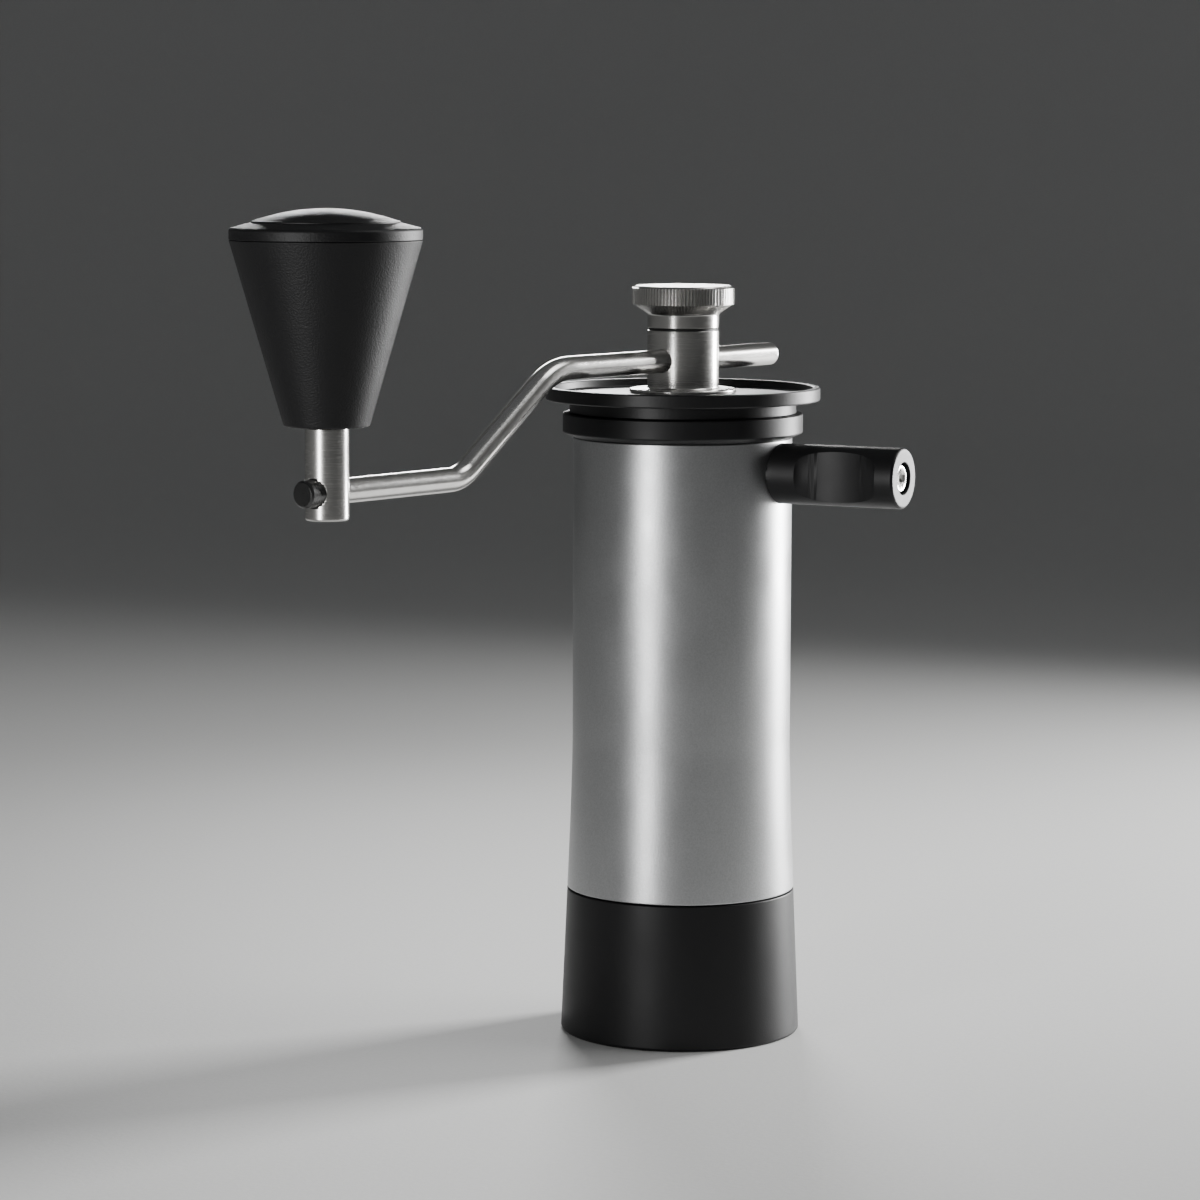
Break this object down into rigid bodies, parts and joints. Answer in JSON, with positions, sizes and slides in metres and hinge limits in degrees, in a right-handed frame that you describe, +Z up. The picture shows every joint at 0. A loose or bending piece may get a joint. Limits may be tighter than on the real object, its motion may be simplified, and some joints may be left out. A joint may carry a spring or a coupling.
{
  "type": "hand crank coffee grinder",
  "caption": "Hand-held burr coffee grinder with a tubular metal body, catch cup, lid with a clamped bent crank rod, turning knob and side grip peg.",
  "frame": {"origin": "centre of the catch cup's flat underside, on the spindle's axis", "axes": "+Z up along the spindle, +X along the hand peg, and the crank arm at rest lies about 101 degrees clockwise from +X seen from above"},
  "size_m": [0.1115, 0.1965, 0.2177],
  "materials": {
    "silver_anodised": "bead-blasted satin silver",
    "turned_stainless": "fine turned stainless steel",
    "polished_stainless": "polished stainless steel",
    "hardened_steel": "machined hardened steel",
    "bearing_steel": "ground bearing steel",
    "spring_steel": "spring steel",
    "black_oxide": "black oxide on steel",
    "cast_aluminium": "machined aluminium",
    "black_aluminium": "fine matte black anodised aluminium",
    "bronze": "sintered bronze",
    "magnet_nickel": "nickel-plated magnet",
    "seal_rubber": "silicone rubber",
    "nylon": "natural nylon",
    "black_nylon": "black nylon"
  },
  "bodies": {
    "cup": {"catch_cup": "black_aluminium", "cup_steel_ring": "turned_stainless"},
    "housing": {"body_tube": "silver_anodised", "hopper_collar": "black_aluminium", "hand_peg": "black_aluminium", "peg_screw": "turned_stainless", "peg_dowel": "hardened_steel", "upper_spider": "cast_aluminium", "upper_bearing_outer_race": "bearing_steel", "lower_spider": "cast_aluminium", "lower_bearing_outer_race": "bearing_steel", "ring_burr": "hardened_steel", "burr_carrier": "black_aluminium", "burr_screws": "black_oxide", "cup_magnets": "magnet_nickel"},
    "upper_cage": {"upper_bearing_balls": "bearing_steel", "upper_bearing_cage": "bronze"},
    "lower_cage": {"lower_bearing_balls": "bearing_steel", "lower_bearing_cage": "bronze"},
    "spindle": {"spindle": "hardened_steel", "upper_bearing_inner_race": "bearing_steel", "lower_bearing_inner_race": "bearing_steel", "spindle_circlip": "spring_steel"},
    "burr": {"cone_burr": "hardened_steel", "burr_spring": "spring_steel", "click_balls": "bearing_steel", "click_springs": "spring_steel"},
    "dial": {"grind_dial": "black_aluminium"},
    "lid": {"lid": "black_aluminium", "lid_bush": "bronze", "lid_seal": "seal_rubber"},
    "crank": {"crank_hub": "turned_stainless", "hub_circlip": "spring_steel"},
    "clamp_ring": {"clamp_washer": "black_nylon"},
    "clamp": {"clamp_knob": "turned_stainless"},
    "arm": {"crank_rod": "polished_stainless", "crank_stem": "turned_stainless", "rod_end_cap": "turned_stainless", "knob_axle": "turned_stainless", "knob_foot_washer": "nylon", "knob_head_washer": "turned_stainless"},
    "knob": {"knob_shell": "black_aluminium", "knob_cap": "black_aluminium", "knob_lower_bush": "bronze", "knob_upper_bush": "bronze"}
  },
  "joints": [
    {"name": "cup_release", "type": "slide", "parent": "cup", "child": "housing", "axis": [0, 0, 1], "range_m": [0, 0.05]},
    {"name": "lid_lift", "type": "slide", "parent": "housing", "child": "lid", "axis": [0, 0, 1], "range_m": [0, 0.04]},
    {"name": "crank_spin", "type": "hinge", "parent": "lid", "child": "crank", "pos_m": [0, 0, 0.17], "axis": [0, 0, 1], "continuous": true},
    {"name": "clamp_rise", "type": "slide", "parent": "crank", "child": "clamp_ring", "axis": [0, 0, 1], "range_m": [0, 0.0025]},
    {"name": "clamp_turn", "type": "hinge", "parent": "clamp_ring", "child": "clamp", "pos_m": [0, 0, 0.19], "axis": [0, 0, 1], "range_deg": [0, 720.1]},
    {"name": "rod_slide", "type": "slide", "parent": "crank", "child": "arm", "axis": [-0.1908, -0.9816, 0], "range_m": [-0.022, 0.022]},
    {"name": "knob_spin", "type": "hinge", "parent": "arm", "child": "knob", "pos_m": [-0.02633, -0.13547, 0.19], "axis": [0, 0, 1], "continuous": true},
    {"name": "spindle_spin", "type": "hinge", "parent": "housing", "child": "spindle", "pos_m": [0, 0, 0.1], "axis": [0, 0, 1], "continuous": true},
    {"name": "burr_gap", "type": "slide", "parent": "spindle", "child": "burr", "axis": [0, 0, 1], "range_m": [-0.0015, 0.00027], "deforming": ["burr_spring"]},
    {"name": "dial_turn", "type": "hinge", "parent": "burr", "child": "dial", "pos_m": [0, 0, 0.044], "axis": [0, 0, 1], "range_deg": [-540.1, 96]},
    {"name": "upper_cage_spin", "type": "hinge", "parent": "housing", "child": "upper_cage", "pos_m": [0, 0, 0.148], "axis": [0, 0, 1], "continuous": true},
    {"name": "lower_cage_spin", "type": "hinge", "parent": "housing", "child": "lower_cage", "pos_m": [0, 0, 0.0725], "axis": [0, 0, 1], "continuous": true}
  ],
  "couplings": [
    {"joint": "spindle_spin", "follows": "crank_spin", "ratio": 1},
    {"joint": "upper_cage_spin", "follows": "crank_spin", "ratio": 0.368},
    {"joint": "lower_cage_spin", "follows": "crank_spin", "ratio": 0.368},
    {"joint": "clamp_turn", "follows": "clamp_rise", "rad_per_m": 5026.5},
    {"joint": "dial_turn", "follows": "burr_gap", "rad_per_m": 6283.2}
  ]
}
